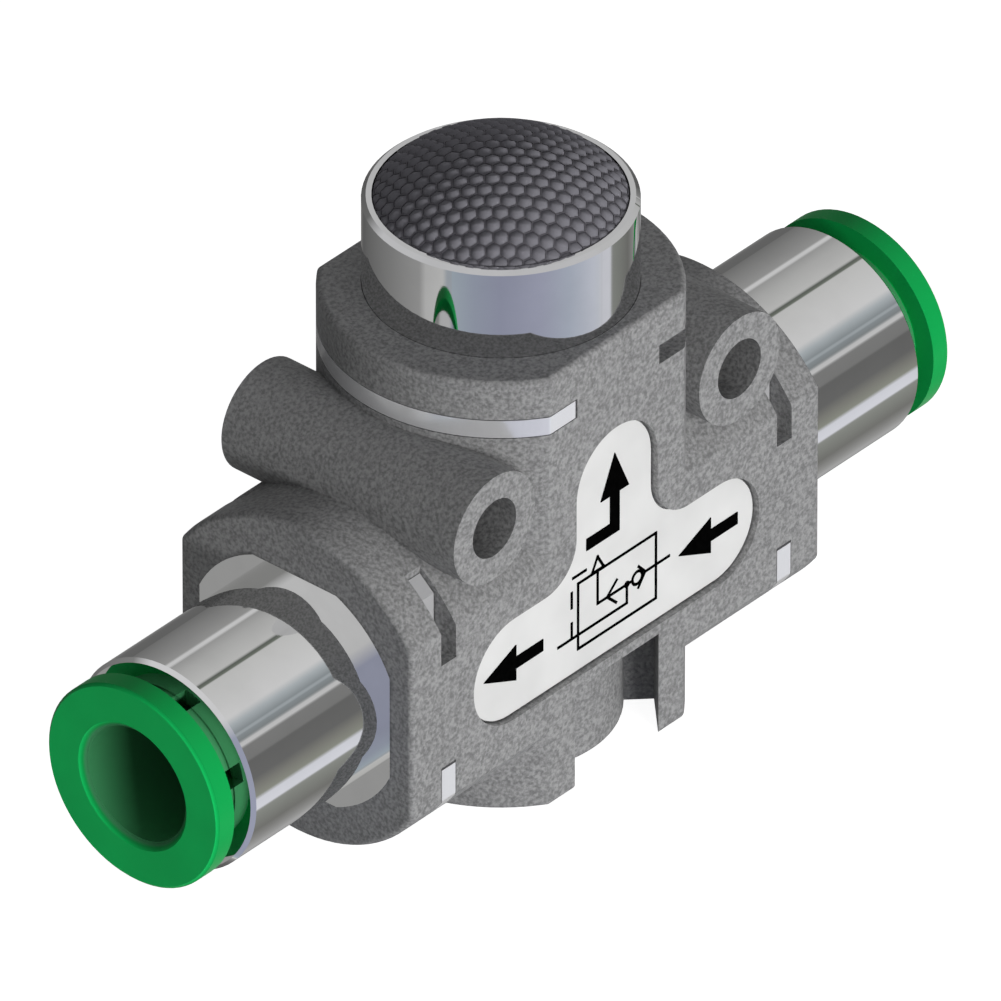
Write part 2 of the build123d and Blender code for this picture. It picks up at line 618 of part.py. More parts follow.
os.makedirs("parts", exist_ok=True)
finish(body, "body")
finish(label_plate, "label_plate")
finish(flow_arrows, "flow_arrows")
finish(silencer_housing, "silencer_housing")
finish(silencer_pad, "silencer_pad")
finish(silencer_grille, "silencer_grille")
finish(inlet_seat, "inlet_seat")
finish(valve_poppet, "valve_poppet")
finish(make_o_ring(EXHAUST, (silencer_oring_back + silencer_oring_front) / 2,
                   PORT_BORE_R, oring_groove_r), "silencer_oring")
finish(make_o_ring(LEVEL, (seat_groove_back + seat_groove_front) / 2,
                   CHAMBER_R, seat_groove_r), "seat_oring")
for side, port in CLIPPED_PORTS.items():
    with BuildPart() as retaining_clip:
        extrude(clip_outline(port), amount=CLIP_T)
    finish(retaining_clip, f"retaining_clip_{side}")
for side, socket in SOCKETS.items():
    finish(make_cartridge(socket), f"cartridge_{side}")
    finish(make_o_ring(socket, (oring_back + oring_front) / 2, PORT_BORE_R, oring_groove_r),
           f"cartridge_oring_{side}")
    finish(make_tube_seal(socket), f"tube_seal_{side}")
    finish(make_seal_washer(socket), f"seal_washer_{side}")
    finish(make_grip_ring(socket), f"grip_ring_{side}")
    finish(make_guide_bush(socket), f"guide_bush_{side}")
    finish(make_release_ring(socket), f"release_ring_{side}")
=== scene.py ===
"""Studio scene of a quick exhaust valve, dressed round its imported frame.

The frame holds the valve at its real size, in metres. Its origin is at the underside of
the foot, +X runs from the outlet socket to the inlet socket, -Y is the labelled front and
+Z points out of the exhaust.
"""
import logging
import math
from dataclasses import dataclass, field
from enum import Enum
from typing import Any, ClassVar, Iterable, Optional, Union

import bmesh
import bpy
from mathutils import Matrix, Vector


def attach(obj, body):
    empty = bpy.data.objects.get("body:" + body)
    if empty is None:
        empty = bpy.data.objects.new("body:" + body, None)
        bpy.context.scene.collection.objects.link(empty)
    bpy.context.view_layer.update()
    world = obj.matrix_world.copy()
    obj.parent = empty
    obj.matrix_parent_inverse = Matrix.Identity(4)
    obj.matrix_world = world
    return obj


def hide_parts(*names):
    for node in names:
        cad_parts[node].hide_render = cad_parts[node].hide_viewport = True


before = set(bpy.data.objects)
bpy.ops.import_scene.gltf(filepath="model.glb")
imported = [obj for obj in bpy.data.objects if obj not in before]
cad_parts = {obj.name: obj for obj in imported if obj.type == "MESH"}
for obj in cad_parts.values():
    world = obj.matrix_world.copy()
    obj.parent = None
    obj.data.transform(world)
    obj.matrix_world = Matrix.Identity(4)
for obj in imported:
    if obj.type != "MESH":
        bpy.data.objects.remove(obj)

LOG = logging.getLogger("valve")
MM = 0.001
TUBE_AXIS = 9.4 * MM  # height above the underside of the foot
JOIN_DISTANCE = 0.0005 * MM  # corners nearer than this become one

Triple = tuple[float, float, float]
Colour = tuple[float, float, float]
Span = tuple[float, float]
Panels = tuple[tuple[float, Colour], ...]


class Side(Enum):
    """End of the valve, with the way that its socket points along X."""

    LEFT = -1
    RIGHT = 1

    @property
    def word(self) -> str:
        """Ending of the names of this side's pieces."""
        return self.name.lower()


class Body(Enum):
    """Rigid bodies of the frame that pieces ride on."""

    VALVE = "valve"
    OUTLET_RING = "outlet_ring"
    INLET_RING = "inlet_ring"


# Shader graph


@dataclass(frozen=True)
class Signal:
    """One shader value, with the arithmetic that adds its Math nodes.

    Args:
        graph: the material's graph.
        socket: the output socket that carries the value.
    """

    graph: "Graph"
    socket: Any

    def _math(self, operation: str, *values: "Number") -> "Signal":
        """Add a Math node over values and return its result."""
        return self.graph.node("ShaderNodeMath", {"operation": operation},
                               dict(enumerate(values)))

    def __add__(self, other: "Number") -> "Signal":
        """Sum."""
        return self._math("ADD", self, other)

    def __radd__(self, other: "Number") -> "Signal":
        """Sum with the number first."""
        return self._math("ADD", other, self)

    def __sub__(self, other: "Number") -> "Signal":
        """Difference."""
        return self._math("SUBTRACT", self, other)

    def __rsub__(self, other: "Number") -> "Signal":
        """Difference with the number first."""
        return self._math("SUBTRACT", other, self)

    def __mul__(self, other: "Number") -> "Signal":
        """Product."""
        return self._math("MULTIPLY", self, other)

    def __rmul__(self, other: "Number") -> "Signal":
        """Product with the number first."""
        return self._math("MULTIPLY", other, self)

    def __pow__(self, other: "Number") -> "Signal":
        """Power."""
        return self._math("POWER", self, other)

    def __gt__(self, other: "Number") -> "Signal":
        """1 where this is greater, else 0."""
        return self._math("GREATER_THAN", self, other)

    def either(self, other: "Number") -> "Signal":
        """The larger of two values."""
        return self._math("MAXIMUM", self, other)

    def angle_from(self, other: "Signal") -> "Signal":
        """Angle in radians whose tangent is this over the other."""
        return self._math("ARCTAN2", self, other)


Number = Union[Signal, float, int]


def swing(noise: Signal, change: float) -> Signal:
    """Change about zero that follows a noise, whose mean is a half."""
    return change * (noise - 0.5)


def grey(level: float) -> Colour:
    """Neutral colour of one level."""
    return (level, level, level)


def shaded(colour: Colour, share: float) -> Colour:
    """A colour made darker, or lighter by a share above 1."""
    return tuple(share * part for part in colour)


@dataclass
class Graph:
    """Node tree of one material or world, with one method that makes any node.

    Args:
        tree: the node tree.
    """

    tree: Any

    @classmethod
    def cleared(cls, owner: Any) -> "Graph":
        """Empty a material or world of the nodes that it starts with.

        Args:
            owner: the material or world.

        Returns:
            Its graph.
        """
        owner.use_nodes = True
        owner.node_tree.nodes.clear()
        return cls(owner.node_tree)

    def node(self, kind: str, settings: Optional[dict[str, Any]] = None,
             inputs: Optional[dict[Any, Any]] = None, output: Any = 0) -> Signal:
        """Make a node, set it and feed it.

        Args:
            kind: Blender's name for the type of node.
            settings: attributes, or "stops" with a ramp's (place, colour) pairs.
            inputs: values or Signals by socket name or number.
            output: name or number of the output that is returned.

        Returns:
            The chosen output as a Signal.
        """
        made = self.tree.nodes.new(kind)
        for name, value in (settings or {}).items():
            if name == "stops":
                self._set_stops(made.color_ramp, value)
            else:
                setattr(made, name, value)
        for name, value in (inputs or {}).items():
            if isinstance(value, Signal):
                self.tree.links.new(value.socket, made.inputs[name])
            else:
                made.inputs[name].default_value = value
        return Signal(self, made.outputs[output]) if made.outputs else Signal(self, None)

    def outputs(self, kind: str, names: Iterable[Any],
                inputs: Optional[dict[Any, Any]] = None) -> tuple[Signal, ...]:
        """Make one node and return several of its outputs."""
        made = self.node(kind, inputs=inputs).socket.node
        return tuple(Signal(self, made.outputs[name]) for name in names)

    @staticmethod
    def _set_stops(ramp: Any, stops: Iterable[tuple[float, Colour]]) -> None:
        """Give a colour ramp its stops.

        Args:
            ramp: the ramp, which always keeps at least one stop.
            stops: place between 0 and 1 and colour of each stop, in order.
        """
        while len(ramp.elements) > 1:
            ramp.elements.remove(ramp.elements[-1])
        for number, (place, colour) in enumerate(stops):
            stop = ramp.elements[0] if number == 0 else ramp.elements.new(place)
            stop.position = place
            stop.color = (*colour, 1.0)

    def place(self) -> Signal:
        """Object coordinates, in metres."""
        return self.node("ShaderNodeTexCoord", output="Object")

    def axes(self, vector: Signal) -> tuple[Signal, ...]:
        """Split a vector into its three parts."""
        return self.outputs("ShaderNodeSeparateXYZ", range(3), {0: vector})

    def stretched(self, vector: Signal, scale: Triple) -> Signal:
        """Vector scaled along each axis."""
        return self.node("ShaderNodeMapping", inputs={"Vector": vector, "Scale": scale})

    def noise(self, vector: Signal, scale: float, detail: float = 2.0,
              roughness: float = 0.5) -> Signal:
        """Noise between 0 and 1."""
        return self.node("ShaderNodeTexNoise", inputs={
            "Vector": vector, "Scale": scale, "Detail": detail, "Roughness": roughness})

    def mapped(self, value: Signal, low: float, high: float) -> Signal:
        """Value mapped from a range to 0 to 1 and held there."""
        return self.node("ShaderNodeMapRange", {"clamp": True},
                         {"Value": value, "From Min": low, "From Max": high,
                          "To Min": 0.0, "To Max": 1.0})

    def blend(self, factor: Number, first: Any, second: Any) -> Signal:
        """Mix of two colours.

        Args:
            factor: share of the second colour.
            first: a Signal or a colour.
            second: a Signal or a colour.

        Returns:
            The mixed colour.
        """
        def full(colour: Any) -> Any:
            """Colour with its alpha."""
            return colour if isinstance(colour, Signal) else (*colour, 1.0)

        return self.node("ShaderNodeMix", {"data_type": "RGBA"},
                         {0: factor, 6: full(first), 7: full(second)}, output=2)

    def bump(self, height: Signal, depth: float, strength: float) -> Signal:
        """Normal bent by a height map of the given depth in metres."""
        return self.node("ShaderNodeBump", inputs={
            "Height": height, "Distance": depth, "Strength": strength})


# Finishes


@dataclass(frozen=True)
class Finish:
    """Surface finish of a piece; a subclass adds its pattern.

    Args:
        name: name of the material.
        slot: material slot of the record that it belongs to; not used.
        colour: linear base colour.
        roughness: mean roughness.
        metallic: 1 for bare metal.
        settings: constants set on the shader's own sockets.
        depth: depth of the pattern's relief.
        relief: strength of the relief.
    """

    name: str
    slot: str
    colour: Colour
    roughness: float = 0.5
    metallic: float = 0.0
    settings: tuple[tuple[str, float], ...] = ()
    depth: float = 0.0
    relief: float = 0.5

    def pattern(self, graph: Graph) -> dict[str, Any]:
        """Inputs of the shader that change over the surface."""
        raise NotImplementedError

    def material(self) -> bpy.types.Material:
        """Make the finish's material, or find it if it is made already.

        Returns:
            The material.
        """
        found = bpy.data.materials.get(self.name)
        if found is not None:
            return found
        made = bpy.data.materials.new(self.name)
        graph = Graph.cleared(made)
        inputs: dict[str, Any] = {"Base Color": (*self.colour, 1.0),
                                  "Roughness": self.roughness, "Metallic": self.metallic}
        inputs.update(dict(self.settings))
        inputs.update(self.pattern(graph))
        shader = graph.node("ShaderNodeBsdfPrincipled", inputs=inputs)
        graph.node("ShaderNodeOutputMaterial", inputs={"Surface": shader})
        return made


@dataclass(frozen=True)
class GrainedPlastic(Finish):
    """Filled plastic with the speckled grain of an eroded mould.

    Args:
        dark: colour of the dark grains, the light ones having the finish's own.
        grain: size of a grain.
        fine_scale: how many times finer the second grain is.
        fine_share: share of the second grain.
        contrast: noise at which a grain is fully dark and fully light.
        cloud_scale: scale of the slow change in gloss, per metre.
        cloud_gloss: change in roughness over the clouds.
        grain_gloss: change in roughness over the grains.
    """

    dark: Colour = grey(0.18)
    grain: float = 0.19 * MM
    fine_scale: float = 2.6
    fine_share: float = 0.2
    contrast: Span = (0.36, 0.64)
    depth: float = 0.03 * MM
    relief: float = 0.12
    cloud_scale: float = 250.0
    cloud_gloss: float = 0.12
    grain_gloss: float = 0.1

    def pattern(self, graph: Graph) -> dict[str, Any]:
        """Light and dark grains in colour, roughness and relief.

        Args:
            graph: the material's graph.

        Returns:
            The shader's inputs by name.
        """
        place = graph.place()
        grains = graph.noise(place, 1 / self.grain)
        fine = graph.noise(place, self.fine_scale / self.grain)
        speckle = graph.mapped((1 - self.fine_share) * grains + self.fine_share * fine,
                               *self.contrast)
        cloud = graph.noise(place, self.cloud_scale)
        gloss = swing(cloud, self.cloud_gloss) + swing(speckle, self.grain_gloss)
        return {"Base Color": graph.blend(speckle, self.dark, self.colour),
                "Roughness": self.roughness + gloss,
                "Normal": graph.bump(speckle, self.depth, self.relief)}


@dataclass(frozen=True)
class Plating(Finish):
    """Bright nickel on turned brass, with faint rings left by the lathe.

    Args:
        axis: unit vector of the axis that the piece was turned about.
        ring_pitch: mean distance between two tool rings.
        ring_gloss: change in roughness over the rings.
        cloud_scale: scale of the dull clouds, per metre.
        cloud_range: noise at which a cloud begins and is full.
        cloud_share: how much of its shade a full cloud takes.
        cloud_shade: brightness of a cloud.
        cloud_gloss: roughness that a full cloud adds.
    """

    axis: Triple = (1.0, 0.0, 0.0)
    ring_pitch: float = 0.09 * MM
    ring_gloss: float = 0.016
    depth: float = 0.0006 * MM
    relief: float = 0.3
    cloud_scale: float = 420.0
    cloud_range: Span = (0.45, 0.75)
    cloud_share: float = 0.5
    cloud_shade: float = 0.9
    cloud_gloss: float = 0.012

    def pattern(self, graph: Graph) -> dict[str, Any]:
        """Tool rings across the axis and a thin cloud in the plating.

        Args:
            graph: the material's graph.

        Returns:
            The shader's inputs by name.
        """
        place = graph.place()
        along = tuple(part / self.ring_pitch for part in self.axis)
        rings = graph.noise(graph.stretched(place, along), 1.0, roughness=0.6)
        cloud = graph.noise(place, self.cloud_scale, detail=3.0)
        dulled = graph.mapped(cloud, *self.cloud_range)
        gloss = swing(rings, self.ring_gloss) + self.cloud_gloss * dulled
        return {"Base Color": graph.blend(self.cloud_share * dulled, self.colour,
                                          shaded(self.colour, self.cloud_shade)),
                "Roughness": self.roughness + gloss,
                "Normal": graph.bump(rings, self.depth, self.relief)}


@dataclass(frozen=True)
class MouldedPlastic(Finish):
    """Smooth moulded plastic with a slight orange peel and rubbed spots.

    Args:
        grain: size of the peel's dimples.
        cloud_scale: scale of the rubbed spots, per metre.
        cloud_range: noise at which a spot begins and is full.
        cloud_shade: brightness between the spots.
        cloud_gloss: change in roughness over the spots.
    """

    grain: float = 0.5 * MM
    depth: float = 0.006 * MM
    cloud_scale: float = 300.0
    cloud_range: Span = (0.3, 0.7)
    cloud_shade: float = 0.9
    cloud_gloss: float = 0.08

    def pattern(self, graph: Graph) -> dict[str, Any]:
        """Slight relief and colour change.

        Args:
            graph: the material's graph.

        Returns:
            The shader's inputs by name.
        """
        place = graph.place()
        peel = graph.noise(place, 1 / self.grain)
        cloud = graph.noise(place, self.cloud_scale)
        return {"Base Color": graph.blend(graph.mapped(cloud, *self.cloud_range),
                                          shaded(self.colour, self.cloud_shade), self.colour),
                "Roughness": self.roughness + swing(cloud, self.cloud_gloss),
                "Normal": graph.bump(peel, self.depth, self.relief)}


@dataclass(frozen=True)
class RingPlastic(MouldedPlastic):
    """Clear green plastic, deeper green on the rim, with painted shade in the neck and bore.

    Args:
        flange_back: inner side of the flange, out from the middle of the valve.
        flange_front: outer side of the flange.
        face_depth: depth over which the rim's colour gives way to the face's.
        bore_r: radius of the bore.
        bore_edge: width over which the bore's colour begins.
        rim: colour of the flange's rim.
        painted_hollow_shade: darker colour painted in the neck and the bore as shade.
    """

    flange_back: float = 25.90 * MM
    flange_front: float = 27.15 * MM
    face_depth: float = 0.15 * MM
    bore_r: float = 3.35 * MM
    bore_edge: float = 0.1 * MM
    rim: Colour = (0.006, 0.40, 0.085)
    painted_hollow_shade: Colour = (0.06, 0.30, 0.12)

    def pattern(self, graph: Graph) -> dict[str, Any]:
        """The moulded surface, deeper green on the rim, with painted shade in neck and bore.

        Args:
            graph: the material's graph.

        Returns:
            The shader's inputs by name.
        """
        inputs = super().pattern(graph)
        x, y, z = graph.axes(graph.place())
        height = z - TUBE_AXIS
        radius = (y * y + height * height) ** 0.5
        out = (x * x) ** 0.5
        face = graph.mapped(out, self.flange_front - self.face_depth, self.flange_front)
        # Painted shade: the neck and the bore get a darker colour for the shade in them; this
        # mask is 1 outside them.
        outside_painted_shade = ((out > self.flange_back)
                 * graph.mapped(radius, self.bore_r - self.bore_edge, self.bore_r))
        shown = graph.blend(face, self.rim, inputs["Base Color"])
        inputs["Base Color"] = graph.blend(outside_painted_shade, self.painted_hollow_shade, shown)
        return inputs


@dataclass(frozen=True)
class BrushedSteel(Finish):
    """Flat spring steel with fine streaks from rolling.

    Args:
        streaks: scale of the streaks along each axis, per metre.
        streak_shade: brightness of a dark streak.
        streak_gloss: share of the roughness in a dark streak, and what light ones add.
    """

    streaks: Triple = (9000.0, 900.0, 900.0)
    streak_shade: float = 0.93
    streak_gloss: Span = (0.7, 0.6)
    depth: float = 0.0004 * MM
    relief: float = 0.2

    def pattern(self, graph: Graph) -> dict[str, Any]:
        """Streaks in colour, roughness and relief.

        Args:
            graph: the material's graph.

        Returns:
            The shader's inputs by name.
        """
        lines = graph.noise(graph.stretched(graph.place(), self.streaks), 1.0,
                            detail=3.0, roughness=0.6)
        least, added = self.streak_gloss
        return {"Base Color": graph.blend(lines, shaded(self.colour, self.streak_shade),
                                          self.colour),
                "Roughness": self.roughness * (least + added * lines),
                "Normal": graph.bump(lines, self.depth, self.relief)}


@dataclass(frozen=True)
class Rubber(Finish):
    """Matt rubber with a little bloom.

    Args:
        bloom_scale: scale of the bloom, per metre.
        bloom_range: noise at which the bloom begins and is full.
        bloom_shade: brightness of full bloom.
        bloom_gloss: change in roughness over the bloom.
        skin_scale: scale of the skin, per metre.
    """

    bloom_scale: float = 900.0
    bloom_range: Span = (0.4, 0.8)
    bloom_shade: float = 1.6
    bloom_gloss: float = 0.1
    skin_scale: float = 6000.0
    depth: float = 0.004 * MM
    relief: float = 0.4

    def pattern(self, graph: Graph) -> dict[str, Any]:
        """Bloom in colour and a fine skin.

        Args:
            graph: the material's graph.

        Returns:
            The shader's inputs by name.
        """
        place = graph.place()
        bloom = graph.noise(place, self.bloom_scale, detail=3.0)
        skin = graph.noise(place, self.skin_scale)
        return {"Base Color": graph.blend(graph.mapped(bloom, *self.bloom_range), self.colour,
                                          shaded(self.colour, self.bloom_shade)),
                "Roughness": self.roughness + swing(bloom, self.bloom_gloss),
                "Normal": graph.bump(skin, self.depth, self.relief)}


@dataclass(frozen=True)
class PadFelt(Finish):
    """Grey fibres of the sound-absorbing pad.

    Args:
        fibre_scale: scale of the fibres, per metre.
        fibre_share: share of the fibres, the rest being clumps.
        clump_scale: scale of the clumps, per metre.
        dark_shade: brightness of the dark fibres.
    """

    fibre_scale: float = 9000.0
    fibre_share: float = 0.6
    clump_scale: float = 2400.0
    dark_shade: float = 0.72
    depth: float = 0.01 * MM

    def pattern(self, graph: Graph) -> dict[str, Any]:
        """Fibres in colour and relief.

        Args:
            graph: the material's graph.

        Returns:
            The shader's inputs by name.
        """
        place = graph.place()
        fibres = graph.noise(place, self.fibre_scale, detail=3.0, roughness=0.7)
        clumps = graph.noise(place, self.clump_scale)
        light = self.fibre_share * fibres + (1 - self.fibre_share) * clumps
        return {"Base Color": graph.blend(light, shaded(self.colour, self.dark_shade),
                                          self.colour),
                "Normal": graph.bump(fibres, self.depth, self.relief)}


@dataclass(frozen=True)
class Print(Finish):
    """Screen print with slightly uneven ink.

    Args:
        ink_scale: scale of the thin and thick places, per metre.
        ink_range: noise at which the ink is thick and thin.
        thin_shade: brightness of thin ink.
        ink_gloss: change in roughness over the ink.
    """

    ink_scale: float = 3500.0
    ink_range: Span = (0.35, 0.65)
    thin_shade: float = 2.0
    ink_gloss: float = 0.1

    def pattern(self, graph: Graph) -> dict[str, Any]:
        """Thin and thick places in the ink.

        Args:
            graph: the material's graph.

        Returns:
            The shader's inputs by name.
        """
        ink = graph.noise(graph.place(), self.ink_scale, detail=3.0)
        return {"Base Color": graph.blend(graph.mapped(ink, *self.ink_range), self.colour,
                                          shaded(self.colour, self.thin_shade)),
                "Roughness": self.roughness + swing(ink, self.ink_gloss)}


Z_AXIS = (0.0, 0.0, 1.0)
BODY_PLASTIC = GrainedPlastic("grained_grey", "body_plastic", grey(0.365), 0.55,
                              settings=(("Specular IOR Level", 0.4),))
SOCKET_PLATING = Plating("socket_plating", "nickel_brass", (0.80, 0.80, 0.79), 0.025, 1.0)
SILENCER_PLATING = Plating("silencer_plating", "nickel_brass", (0.66, 0.66, 0.655), 0.025, 1.0,
                           axis=Z_AXIS)
GREEN_PLASTIC = RingPlastic("signal_green", "green_plastic", (0.010, 0.72, 0.16), 0.3,
                            settings=(("Specular IOR Level", 0.08),))
LABEL_PLASTIC = MouldedPlastic("label_plastic", "label", (0.81, 0.81, 0.80), 0.5,
                               grain=0.3 * MM, depth=0.003 * MM)
BLACK_PRINT = Print("black_print", "arrow_print", grey(0.001), 0.7,
                    settings=(("Specular IOR Level", 0.0),))
CLIP_STEEL = BrushedSteel("rolled_clip_steel", "clip_steel", (0.86, 0.86, 0.87), 0.20, 0.5)
SPRING_STEEL = BrushedSteel("rolled_spring_steel", "spring_steel", grey(0.70), 0.3, 1.0)
MESH_WIRE = MouldedPlastic("mesh_wire", "grille", (0.12, 0.115, 0.13), 0.6)
PAD_FELT = PadFelt("pad_felt", "pad", (0.24, 0.235, 0.262), 0.8)
PLAIN_BRASS = Plating("plain_brass", "brass", (0.72, 0.52, 0.25), 0.22, 1.0, axis=Z_AXIS)
SEAL_RUBBER = Rubber("black_rubber", "seal_rubber", grey(0.02), 0.6)
POPPET_RUBBER = Rubber("lip_rubber", "poppet_rubber", grey(0.03), 0.55)
INNER_PLASTIC = MouldedPlastic("ivory_acetal", "inner_plastic", (0.70, 0.69, 0.64), 0.45)


# Making pieces


def placed(name: str, data: Any) -> bpy.types.Object:
    """Make an object and link it to the scene.

    Args:
        name: name of the object.
        data: its mesh, camera or light.

    Returns:
        The object, at the origin.
    """
    obj = bpy.data.objects.new(name, data)
    bpy.context.scene.collection.objects.link(obj)
    return obj


def aim(obj: bpy.types.Object, target: Vector, way: Vector, distance: float) -> None:
    """Stand a camera or a light off a target and turn it to face it.

    Args:
        obj: the camera or the light, which looks along its own -Z.
        target: what it faces.
        way: unit vector from the target towards it.
        distance: how far from the target it stands.
    """
    obj.location = target + way * distance
    obj.rotation_mode = "QUATERNION"
    obj.rotation_quaternion = (-way).to_track_quat("-Z", "Y")


@dataclass
class Workshop:
    """Makes finished pieces, puts them on their bodies and counts them.

    Args:
        flat_angle: angle in degrees within which a copy's triangles become one face.
        copy_sharp: angle in degrees above which a copy's edge stays sharp.
        made: names of the pieces in the order of their making.
    """

    flat_angle: float = 0.2
    copy_sharp: float = 32.0
    made: list[str] = field(default_factory=list)

    def finish_piece(self, obj: bpy.types.Object, finish: Finish, body: Body,
                     replaced: tuple[str, ...] = ()) -> None:
        """Dress a piece, put it on its body and report it.

        Args:
            obj: the piece, at the origin.
            finish: its finish.
            body: the body that it rides on.
            replaced: nodes of the frame that it stands for.
        """
        obj.data.materials.clear()
        obj.data.materials.append(finish.material())
        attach(obj, body.value)
        if replaced:
            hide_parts(*replaced)
        self.made.append(obj.name)
        LOG.info("%s: %d faces, %s", obj.name, len(obj.data.polygons), finish.name)

    def piece(self, name: str, bm: bmesh.types.BMesh, sharp: float = 35.0) -> bpy.types.Object:
        """Turn a bmesh into an object with smooth faces and sharp edges.

        Args:
            name: name of the object.
            bm: the shape, which is freed.
            sharp: angle in degrees above which an edge stays sharp.

        Returns:
            The object, at the origin.
        """
        limit = math.radians(sharp)
        for face in bm.faces:
            face.smooth = True
        for edge in bm.edges:
            edge.smooth = len(edge.link_faces) == 2 and edge.calc_face_angle(0.0) < limit
        mesh = bpy.data.meshes.new(name)
        bm.to_mesh(mesh)
        bm.free()
        return placed(name, mesh)

    def merged_copy(self, node: str, name: str) -> bpy.types.Object:
        """Copy a node of the frame with its triangles joined and its rounds smooth.

        Args:
            node: the node that is copied.
            name: name of the new object.

        Returns:
            The copy, at the origin.
        """
        bm = bmesh.new()
        bm.from_mesh(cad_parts[node].data)
        bmesh.ops.remove_doubles(bm, verts=bm.verts, dist=JOIN_DISTANCE)
        bmesh.ops.dissolve_limit(bm, angle_limit=math.radians(self.flat_angle), verts=bm.verts,
                                 edges=bm.edges, use_dissolve_boundaries=False)
        copy = self.piece(name, bm, self.copy_sharp)
        stored = copy.data.attributes.get("custom_normal")
        if stored is not None:  # the node's own normals don't fit the joined faces
            copy.data.attributes.remove(stored)
        weigh = copy.modifiers.new("even", "WEIGHTED_NORMAL")
        weigh.keep_sharp = True
        return copy

    def dressed_copy(self, node: str, name: str, finish: Finish,
                     body: Body = Body.VALVE) -> None:
        """Copy a node and dress the copy, which then stands for the node."""
        self.finish_piece(self.merged_copy(node, name), finish, body, (node,))


# Sub-assemblies


@dataclass
class MouldedBody:
    """Grey body moulding and the three clips.

    Args:
        shop: makes the pieces.
    """

    shop: Workshop

    def build(self) -> None:
        """Make every piece of the body."""
        self.shop.dressed_copy("body", "moulded_body", BODY_PLASTIC)
        for word in ("left", "right", "top"):
            self.shop.dressed_copy(f"retaining_clip_{word}", f"spring_clip_{word}", CLIP_STEEL)


@dataclass
class Label:
    """Label plate with its flow arrows and the printed circuit symbol of the valve.

    Args:
        shop: makes the pieces.
        surface: the label's surface in front of the exhaust axis, along -Y.
        line_width: width of a printed line.
        ink: thickness of the print.
        ball: middle and radius of the symbol's ball, in mm.
        ball_steps: number of lines round the ball.
        joint: middle and radius of the dot where two lines meet, in mm.
        joint_steps: number of edges round the dot.
        lines: the symbol's lines through (x, height) places in mm, from the tube axis.
    """

    shop: Workshop
    surface: float = 7.15 * MM
    line_width: float = 0.16 * MM
    ink: float = 0.03 * MM
    ball: Triple = (1.895, 0.42, 0.36)
    ball_steps: int = 24
    joint: Triple = (1.125, 0.42, 0.2)
    joint_steps: int = 24
    lines: tuple[tuple[Span, ...], ...] = (
        ((-2.50, -1.51), (3.28, -1.51), (3.28, 2.35), (-2.50, 2.35), (-2.50, -1.51)),
        ((4.24, 0.48), (2.48, 0.48)), ((1.98, -0.20), (2.48, 0.48), (2.00, 1.02)),
        ((1.52, 0.42), (-1.05, 0.42), (-1.05, 2.35)),
        ((1.12, 0.42), (1.12, -0.68), (-3.96, -0.68)),
        ((0.36, 1.08), (-0.35, 0.43), (0.32, -0.22)),
        ((-1.47, 2.40), (-1.06, 3.20), (-0.60, 2.40), (-1.47, 2.40)),
        ((-2.86, 2.86), (-1.94, 2.86)), ((-2.97, 2.03), (-2.97, 1.16)),
        ((-2.97, 0.23), (-2.97, -0.62)))

    def build(self) -> None:
        """Make the plate and the print."""
        self.shop.dressed_copy("label_plate", "label_film", LABEL_PLASTIC)
        self.shop.dressed_copy("flow_arrows", "printed_arrows", BLACK_PRINT)
        symbol = self.shop.piece("printed_symbol", self.symbol())
        self.shop.finish_piece(symbol, BLACK_PRINT, Body.VALVE)

    def symbol(self) -> bmesh.types.BMesh:
        """Draw the circuit symbol: a check valve with a pilot line and its exhaust.

        Returns:
            The printed lines, as thick as the ink.
        """
        bm = bmesh.new()
        x, height, radius = self.ball
        turns = [2 * math.pi * step / self.ball_steps for step in range(self.ball_steps + 1)]
        ball = [(x + radius * math.cos(turn), height + radius * math.sin(turn))
                for turn in turns]
        for line in (*self.lines, ball):
            for first, last in zip(line, line[1:]):
                self.stroke(bm, first, last)
        x, height, radius = self.joint
        flat = Matrix.Rotation(math.radians(90), 4, "X")
        bmesh.ops.create_cone(bm, cap_ends=True, segments=self.joint_steps,
                              radius1=radius * MM, radius2=radius * MM, depth=self.ink,
                              matrix=Matrix.Translation(self.spot(x, height)) @ flat)
        return bm

    def spot(self, x: float, height: float) -> Vector:
        """Place in the middle of the ink for a place on the label in mm."""
        return Vector((x * MM, -self.surface - self.ink / 2, TUBE_AXIS + height * MM))

    def stroke(self, bm: bmesh.types.BMesh, first: Span, last: Span) -> None:
        """Add a straight printed line.

        Args:
            bm: the symbol.
            first: (x, height) of one end, in mm.
            last: (x, height) of the other end.
        """
        start, end = self.spot(*first), self.spot(*last)
        way = end - start
        bmesh.ops.create_cube(bm, size=1.0, matrix=(
            Matrix.Translation((start + end) / 2)
            @ Matrix.Rotation(-math.atan2(way.z, way.x), 4, "Y")
            @ Matrix.Diagonal((way.length + self.line_width, self.ink, self.line_width, 1.0))))


